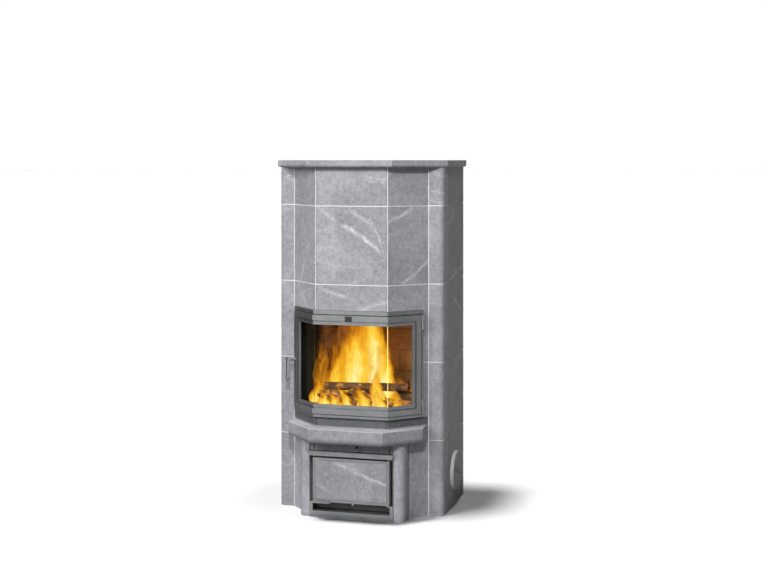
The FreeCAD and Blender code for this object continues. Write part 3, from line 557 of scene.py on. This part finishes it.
for index, name in enumerate(sorted(nodes)):
    slot = slotOf[name]
    if slot == "soapstone":
        look = stoneLooks.get(name, dict(seed=firstPlainSeed + index, vein=0.8))
        material = soapstoneMaterial(**look, sootedAndShaded=name in sootedAndShadedStones)
    else:
        material = nodeMaterials.get(name, slotMaterials[slot])
    mesh = nodes[name].data
    mesh.materials.clear()
    mesh.materials.append(material)
print("materials assigned:", len(nodes))


# new pieces are rows of points: four-sided faces join each row to the next, and one face closes each end row
def gridFaces(points):
    rows, columns = points.shape[:2]
    row = np.arange(rows - 1)[:, None] * columns
    column = np.arange(columns)[None, :]
    after = (column + 1) % columns
    corners = [row + column, row + after, row + columns + after, row + columns + column]
    sides = np.stack(corners, axis=-1).reshape(-1, 4)
    ring = np.arange(columns)
    ends = [ring[::-1].tolist(), ((rows - 1) * columns + ring).tolist()]
    return points.reshape(-1, 3).tolist(), sides.tolist() + ends


def makePiece(name, points, material, body, warmth=None):
    flat, faces = gridFaces(points)
    mesh = bpy.data.meshes.new(name)
    mesh.from_pydata(flat, [], faces)
    mesh.validate()
    mesh.polygons.foreach_set("use_smooth", np.ones(len(mesh.polygons), dtype=bool))
    if warmth is not None:
        layer = mesh.attributes.new("warmth", "FLOAT", "POINT")
        layer.data.foreach_set("value", warmth.astype(np.float32))
    mesh.materials.append(material)
    piece = bpy.data.objects.new(name, mesh)
    bpy.context.scene.collection.objects.link(piece)
    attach(piece, body)


# a sum of five slanted sine waves with seeded phases, each finer and weaker than the last, about -1 to 1
def smoothNoise(seed, *axes):
    draw = np.random.default_rng(seed)
    total = np.zeros(np.broadcast(*axes).shape)
    for octave in range(5):
        phase = draw.uniform(0, 2 * math.pi)
        finer = 1.7 ** octave
        wave = sum(axis * draw.uniform(0.6, 1.4) * finer * draw.choice((-1, 1)) for axis in axes)
        total = total + np.sin(wave + phase) / (1.35 ** octave)
    return total / 3.2


def angles(around):
    return np.linspace(0, 2 * math.pi, around, endpoint=False)[None, :]


# charred wood: dark and brown patches, with cracks that glow in some of them
def charMaterial():
    material, tree, shader, coords = newMaterial("charred_wood", Roughness=0.9, Specular_IOR_Level=0.1)
    crack = addNode(tree, "ShaderNodeTexVoronoi", feature="DISTANCE_TO_EDGE")
    setInputs(crack, Scale=95.0)
    tree.links.new(coords, crack.inputs["Vector"])
    patch = noise(tree, coords, 14.0, 4.0)
    color = ramp(tree, patch, [(0.35, (0.02, 0.012, 0.008)), (0.55, (0.1, 0.05, 0.02)),
                               (0.7, (0.42, 0.2, 0.06))])
    tree.links.new(color, shader.inputs["Base Color"])
    gap = ramp(tree, crack.outputs["Distance"], [(0.0, gray(1)), (0.12, gray(0))])
    glow = times(tree, gap, ramp(tree, patch, [(0.5, gray(0)), (0.66, gray(1))]))
    tree.links.new(mixColor(tree, glow, gray(0), (1.0, 0.27, 0.02, 1)), shader.inputs["Emission Color"])
    setInputs(shader, Emission_Strength=0.7)
    addBump(tree, shader, crack.outputs["Distance"], 0.7, 0.004)
    return material


# logs lie from start to end, both measured from the firebox floor's top
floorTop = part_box("firebox_floor")[1][2]
logLooks = [
    dict(start=(-0.205, -0.06, 0.083), end=(0.24, -0.045, 0.09), radius=0.02, seed=1),
    dict(start=(-0.1, -0.13, 0.014), end=(-0.25, -0.06, 0.05), radius=0.019, seed=2),
    dict(start=(-0.01, -0.14, 0.012), end=(-0.16, -0.1, 0.07), radius=0.016, seed=3),
    dict(start=(0.07, -0.13, 0.014), end=(-0.06, -0.09, 0.068), radius=0.019, seed=4),
    dict(start=(0.18, -0.14, 0.013), end=(0.02, -0.1, 0.058), radius=0.015, seed=5),
    dict(start=(0.27, -0.09, 0.016), end=(0.12, -0.1, 0.03), radius=0.018, seed=6),
    dict(start=(0.27, -0.03, 0.03), end=(0.17, -0.02, 0.06), radius=0.026, seed=8),
    dict(start=(-0.14, 0.1, 0.05), end=(0.2, 0.12, 0.06), radius=0.035, seed=7),
]
logShape = dict(ends=[0.02, 0.5, 0.93], rough=0.12, split=0.14)


# a log is a circle carried along the straight run from start to end: its radius is roughened by waves round
# and along and by three splits, a cosine of three times the angle, and shrinks in steps at both ends
def logPoints(look, around=36, along=40):
    start = np.array(look["start"]) + (0, 0, floorTop)
    end = np.array(look["end"]) + (0, 0, floorTop)
    way = (end - start) / np.linalg.norm(end - start)
    side = np.cross(way, (0, 0, 1.0))
    side /= np.linalg.norm(side)
    top = np.cross(side, way)
    ends = logShape["ends"]
    t = np.concatenate([np.zeros(len(ends)), np.linspace(0, 1, along), np.ones(len(ends))])[:, None]
    cap = np.concatenate([ends, np.ones(along), ends[::-1]])[:, None]
    # the angle runs backwards, so that the faces point outwards
    a = np.linspace(2 * math.pi, 0, around, endpoint=False)[None, :]
    bark = smoothNoise(look["seed"], np.cos(a) * 2, np.sin(a) * 2, t * 9)
    rough = 1 + logShape["rough"] * bark + logShape["split"] * np.cos(3 * a + look["seed"])
    r = look["radius"] * cap * rough
    run = start + t[..., None] * (end - start)
    return run + r[..., None] * (np.cos(a)[..., None] * side + np.sin(a)[..., None] * top)


charred = charMaterial()
for look in logLooks:
    makePiece("fire_log_%d" % look["seed"], logPoints(look), charred, "stove")
print("logs laid:", len(logLooks))


# flame: stretched streaks over each flame's own warmth, from clear orange to a dense yellow
def flameMaterial():
    material, tree, shader, coords = newMaterial(
        "flame", Base_Color=gray(0), Roughness=1.0, Specular_IOR_Level=0.0, Emission_Strength=1.05)
    warmth = addNode(tree, "ShaderNodeAttribute", attribute_name="warmth").outputs["Fac"]
    stretch = addNode(tree, "ShaderNodeMapping")
    setInputs(stretch, Scale=(1.0, 1.0, 0.25))
    tree.links.new(coords, stretch.inputs["Vector"])
    streak = minus(tree, noise(tree, stretch.outputs[0], 34.0, 5.0, 0.6, 0.9), 0.5)
    level = plus(tree, warmth, times(tree, streak, 1.15))
    color = ramp(tree, level, [(0.0, (0.55, 0.16, 0.006)), (0.25, (0.75, 0.26, 0.01)),
                               (0.45, (0.97, 0.46, 0.02)), (0.7, (1.0, 0.67, 0.07)),
                               (1.0, (1.0, 0.9, 0.36))])
    tree.links.new(color, shader.inputs["Emission Color"])
    dense = ramp(tree, level, [(0.02, gray(0)), (0.3, gray(0.4)), (0.62, gray(0.9))])
    tree.links.new(dense, shader.inputs["Alpha"])
    return material


# the tall flames at the back, then the short ones among the logs, each from its base above the floor's top
flameLooks = [
    dict(seed=10, base=(-0.085, 0.13, 0.02), width=0.165, height=0.5, depth=0.03,
         lean=0.02, sway=0.01, warm=0.4, taper=0.8),
    dict(seed=11, base=(0.04, 0.07, 0.03), width=0.085, height=0.52, depth=0.03,
         lean=-0.05, sway=0.012, warm=1.05, taper=0.8),
    dict(seed=12, base=(-0.08, 0.05, 0.03), width=0.1, height=0.4, depth=0.03,
         lean=0.05, sway=0.014, warm=0.95, taper=0.8),
    dict(seed=13, base=(-0.18, 0.03, 0.0), width=0.06, height=0.3, depth=0.03,
         lean=0.06, sway=0.012, warm=0.7, taper=0.8),
    dict(seed=21, base=(-0.255, 0.02, 0.0), width=0.045, height=0.34, depth=0.02,
         lean=0.01, sway=0.008, warm=0.3, taper=0.8),
    dict(seed=14, base=(0.11, 0.03, 0.0), width=0.06, height=0.3, depth=0.03,
         lean=-0.05, sway=0.012, warm=1.0, taper=0.8),
    dict(seed=22, base=(0.19, 0.04, 0.0), width=0.06, height=0.13, depth=0.03,
         lean=-0.02, sway=0.012, warm=0.5, taper=0.8),
    dict(seed=15, base=(-0.25, -0.07, -0.01), width=0.045, height=0.15, depth=0.02,
         lean=0.02, sway=0.01, warm=0.95, taper=1.5),
    dict(seed=16, base=(-0.18, -0.11, -0.015), width=0.05, height=0.1, depth=0.02,
         lean=-0.03, sway=0.012, warm=1.0, taper=1.5),
    dict(seed=23, base=(-0.11, -0.15, -0.015), width=0.04, height=0.1, depth=0.012,
         lean=-0.05, sway=0.008, warm=0.95, taper=1.5),
    dict(seed=17, base=(-0.045, -0.155, -0.02), width=0.036, height=0.14, depth=0.012,
         lean=-0.07, sway=0.01, warm=1.0, taper=1.5),
    dict(seed=24, base=(0.0, -0.12, -0.02), width=0.04, height=0.12, depth=0.02,
         lean=-0.03, sway=0.01, warm=0.9, taper=1.5),
    dict(seed=18, base=(0.05, -0.155, -0.02), width=0.042, height=0.15, depth=0.012,
         lean=-0.07, sway=0.01, warm=1.05, taper=1.5),
    dict(seed=19, base=(0.1, -0.12, -0.02), width=0.05, height=0.24, depth=0.02,
         lean=-0.02, sway=0.01, warm=1.25, taper=1.5),
    dict(seed=25, base=(0.13, -0.155, -0.02), width=0.042, height=0.13, depth=0.012,
         lean=-0.05, sway=0.01, warm=1.0, taper=1.5),
    dict(seed=20, base=(0.2, -0.12, -0.02), width=0.055, height=0.13, depth=0.02,
         lean=-0.03, sway=0.01, warm=0.85, taper=1.5),
]
flameShape = dict(swell=0.4, ripple=0.16, lift=0.002, cooling=1.76, floorWarmth=0.35)


# a flame is an ellipse carried up a line that leans as v to the power 1.5 and sways as v times a sine of 9 v:
# its half width and half depth follow v to the power swell times (1 - v) to the power taper, and a wave
# ripples its width
def flamePoints(look, around=48, up=70):
    v = np.linspace(0, 1, up)[:, None]
    a = angles(around)
    profile = (v + 0.02) ** flameShape["swell"] * (1.001 - v) ** look["taper"]
    profile = profile / profile.max()
    ripple = 1 + flameShape["ripple"] * smoothNoise(look["seed"], v * 9, 1.2 * np.cos(a))
    x0, y0, z0 = look["base"]
    drift = look["lean"] * v ** 1.5 + look["sway"] * np.sin(9 * v + look["seed"]) * v
    x = x0 + drift + look["width"] * profile * ripple * np.cos(a)
    y = y0 + look["depth"] * profile * np.sin(a) + 0 * x
    z = np.maximum(floorTop + flameShape["lift"], floorTop + z0 + look["height"] * v) + 0 * x
    return np.stack([x, y, z], axis=-1)


# warmth is greatest on the flame's middle line, cools towards the tip and is held down at the floor
def flameWarmth(look, around=48, up=70):
    v = np.linspace(0, 1, up)[:, None]
    across = (1 - np.abs(np.cos(angles(around))) ** 1.6) ** 0.8
    cooling = 1 - v ** (flameShape["cooling"] / look["taper"])
    rising = np.minimum(1, 8 * v + flameShape["floorWarmth"])
    return (across * cooling * rising * look["warm"]).reshape(-1)


flame = flameMaterial()
for look in flameLooks:
    makePiece("flame_%d" % look["seed"], flamePoints(look), flame, "stove", flameWarmth(look))
print("flames lit:", len(flameLooks))


# embers: grey lumps that glow between themselves in some patches
def emberMaterial():
    material, tree, shader, coords = newMaterial(
        "embers", Roughness=0.95, Specular_IOR_Level=0.1, Emission_Strength=1.5)
    cell = addNode(tree, "ShaderNodeTexVoronoi")
    setInputs(cell, Scale=60.0)
    tree.links.new(coords, cell.inputs["Vector"])
    lump = cell.outputs["Distance"]
    color = ramp(tree, lump, [(0.1, (0.05, 0.03, 0.02)), (0.5, (0.2, 0.17, 0.15))])
    tree.links.new(color, shader.inputs["Base Color"])
    patch = ramp(tree, noise(tree, coords, 18.0, 4.0), [(0.4, gray(0)), (0.62, gray(1))])
    glow = ramp(tree, times(tree, patch, lump), [(0.05, (0, 0, 0)), (0.25, (0.7, 0.12, 0.01)),
                                                 (0.6, (1.0, 0.55, 0.08))])
    tree.links.new(glow, shader.inputs["Emission Color"])
    addBump(tree, shader, lump, 0.8, 0.006)
    return material


emberLook = dict(halfWidth=0.235, halfDepth=0.14, middle=-0.01, height=0.02, seed=31,
                 rimGap=0.0008, underGap=0.0004, poleShare=0.02)


# the ember bed is a heap on a wavy oval: its height is a sum of waves times the root of 1 - r squared, and a
# small ring at the floor closes it underneath
def emberPoints(rings=24, around=96):
    r = np.linspace(0.01, 1, rings)[:, None]
    a = angles(around)
    edge = 1 + 0.06 * np.cos(5 * a + 1) + 0.04 * np.cos(9 * a)
    x = emberLook["halfWidth"] * r * edge * np.cos(a)
    y = emberLook["middle"] + emberLook["halfDepth"] * r * edge * np.sin(a)
    lumps = np.clip(0.75 + 0.5 * smoothNoise(emberLook["seed"], x * 60, y * 60), 0.1, 2)
    dome = np.sqrt(np.clip(1 - r ** 2, 0, 1))
    z = floorTop + emberLook["rimGap"] + emberLook["height"] * lumps * dome
    top = np.stack([x, y, z], axis=-1)
    underX = x[-1:] * emberLook["poleShare"]
    underY = y[-1:] * emberLook["poleShare"] + emberLook["middle"]
    underZ = z[-1:] * 0 + floorTop + emberLook["underGap"]
    under = np.stack([underX, underY, underZ], axis=-1)
    return np.concatenate([under, top[::-1]])


makePiece("ember_bed", emberPoints(), emberMaterial(), "stove")
print("embers laid")

# stage: a pale floor seen white, lit by its own soft overhead suns so the shadow stays short
stageLook = dict(floorSize=400.0, seen=0.84, spread=0.005, bounced=0.22, ambient=0.0, lift=0.01)
boardLook = dict(front=-2.6, back=4.5, top=4.5, low=0.01, high=0.02)


# rays that meet the stage as white: from the camera, in a reflection or through glass
def whiteRays(tree):
    path = addNode(tree, "ShaderNodeLightPath").outputs
    seen = most(tree, path["Is Camera Ray"], path["Is Glossy Ray"])
    return most(tree, seen, path["Is Transmission Ray"])


def flatSheet(name, corners, material):
    mesh = bpy.data.meshes.new(name)
    mesh.from_pydata(corners, [], [(0, 1, 2, 3)])
    mesh.materials.append(material)
    sheet = bpy.data.objects.new(name, mesh)
    bpy.context.scene.collection.objects.link(sheet)
    return sheet


def makeFloor():
    half = stageLook["floorSize"] / 2
    material, tree, shader, coords = newMaterial(
        "pale_floor", Roughness=1.0, Specular_IOR_Level=0.0, Emission_Color=gray(1))
    low = gray(stageLook["seen"] - stageLook["spread"])
    high = gray(stageLook["seen"] + stageLook["spread"])
    tone = ramp(tree, noise(tree, coords, 1.5, 2.0), [(0.3, low), (0.7, high)])
    white = whiteRays(tree)
    tree.links.new(mixColor(tree, white, gray(stageLook["bounced"]), tone), shader.inputs["Base Color"])
    tree.links.new(times(tree, white, stageLook["lift"]), shader.inputs["Emission Strength"])
    corners = [(-half, -half, 0), (half, -half, 0), (half, half, 0), (-half, half, 0)]
    return flatSheet("floor", corners, material)


# a studio board beside the stove, only met by reflections
def makeBoard(name, x, glow):
    material, tree, shader, coords = newMaterial(
        name, Roughness=1.0, Specular_IOR_Level=0.0, Emission_Color=gray(1), Emission_Strength=glow)
    stops = [(0.3, gray(boardLook["low"])), (0.7, gray(boardLook["high"]))]
    tree.links.new(ramp(tree, noise(tree, coords, 3.0), stops), shader.inputs["Base Color"])
    front = boardLook["front"]
    back = boardLook["back"]
    top = boardLook["top"]
    board = flatSheet(name, [(x, front, 0), (x, back, 0), (x, back, top), (x, front, top)], material)
    board.visible_camera = False
    board.visible_diffuse = False
    board.visible_transmission = False
    board.visible_shadow = False


def makeWorld():
    world = bpy.data.worlds.new("studio")
    bpy.context.scene.world = world
    world.use_nodes = True
    tree = world.node_tree
    back = tree.nodes["Background"]
    back.inputs["Color"].default_value = gray(1)
    strength = addNode(tree, "ShaderNodeMix", data_type="FLOAT")
    strength.inputs[2].default_value = stageLook["ambient"]
    strength.inputs[3].default_value = 1.0
    tree.links.new(whiteRays(tree), strength.inputs[0])
    tree.links.new(strength.outputs[0], back.inputs["Strength"])


# a lamp turned so that its light comes from the toward direction
def addLamp(name, kind, toward, strength):
    data = bpy.data.lights.new(name, kind)
    data.energy = strength
    lamp = bpy.data.objects.new(name, data)
    x, y, z = np.array(toward) / np.linalg.norm(toward)
    lamp.rotation_euler = (math.acos(z), 0, math.atan2(x, -y))
    bpy.context.scene.collection.objects.link(lamp)
    return lamp


def addSun(name, toward, strength, spread):
    lamp = addLamp(name, "SUN", toward, strength)
    lamp.data.angle = math.radians(spread)
    return lamp


# a round studio panel at a place, facing a target
def addPanel(name, place, target, strength, size):
    lamp = addLamp(name, "AREA", np.array(place) - target, strength)
    lamp.data.shape = "DISK"
    lamp.data.size = size
    lamp.location = place
    lamp.visible_camera = False
    return lamp


floor = makeFloor()
makeBoard("dark_board", x=-2.4, glow=0.0)
makeBoard("gray_board", x=3.4, glow=0.3)
makeWorld()
stoveMiddle = (0.0, -0.27, 1.2)
stoveLamps = [
    addPanel("leftPanel", (-2.6, -5.66, 4.2), stoveMiddle, strength=285.0, size=4.0),
    addPanel("rightPanel", (1.05, -4.13, 3.9), stoveMiddle, strength=132.0, size=0.45),
    addSun("dome", (0.0, -0.75, 0.66), strength=0.45, spread=140),
    addSun("overhead", (-0.14, -0.08, 0.98), strength=2.1, spread=10),
]
floorLamps = [
    addSun("floorLeft", (-0.14, -0.1, 0.98), strength=3.25, spread=9),
    addSun("floorRight", (0.13, 0.0, 0.99), strength=0.6, spread=9),
]
floorAlone = bpy.data.collections.new("floorAlone")
floorAlone.objects.link(floor)
for lamp in floorLamps:
    lamp.light_linking.receiver_collection = floorAlone
floorLeftOut = bpy.data.collections.new("floorLeftOut")
floorLeftOut.objects.link(floor)
for lamp in stoveLamps:
    lamp.light_linking.receiver_collection = floorLeftOut
floorLeftOut.collection_objects[0].light_linking.link_state = "EXCLUDE"

# the fire's light on the bricks, from a point among the flames that isn't seen itself
glowLook = dict(strength=1.2, color=(1.0, 0.5, 0.14), size=0.08, place=(0.02, -0.03, floorTop + 0.28))
fireGlow = bpy.data.lights.new("fireGlow", "POINT")
fireGlow.energy = glowLook["strength"]
fireGlow.color = glowLook["color"]
fireGlow.shadow_soft_size = glowLook["size"]
glowLamp = bpy.data.objects.new("fireGlow", fireGlow)
glowLamp.location = glowLook["place"]
glowLamp.visible_camera = False
glowLamp.visible_transmission = False
glowLamp.visible_glossy = False
bpy.context.scene.collection.objects.link(glowLamp)

# camera: level at the height of the stove's top, turned to its right side, lens shifted down
cameraLook = dict(place=(1.904, -6.639, 1.8), turn=15.23, sensor=36.0, focal=1325.0, width=768.0,
                  middle=288.0, horizon=160.2)
cameraData = bpy.data.cameras.new("camera")
cameraData.sensor_width = cameraLook["sensor"]
cameraData.lens = cameraLook["sensor"] * cameraLook["focal"] / cameraLook["width"]
cameraData.shift_y = (cameraLook["horizon"] - cameraLook["middle"]) / cameraLook["width"]
camera = bpy.data.objects.new("camera", cameraData)
camera.location = cameraLook["place"]
camera.rotation_euler = (math.radians(90), 0, math.radians(cameraLook["turn"]))
bpy.context.scene.collection.objects.link(camera)
bpy.context.scene.camera = camera
bpy.context.scene.view_settings.view_transform = "Standard"
print("stage set")
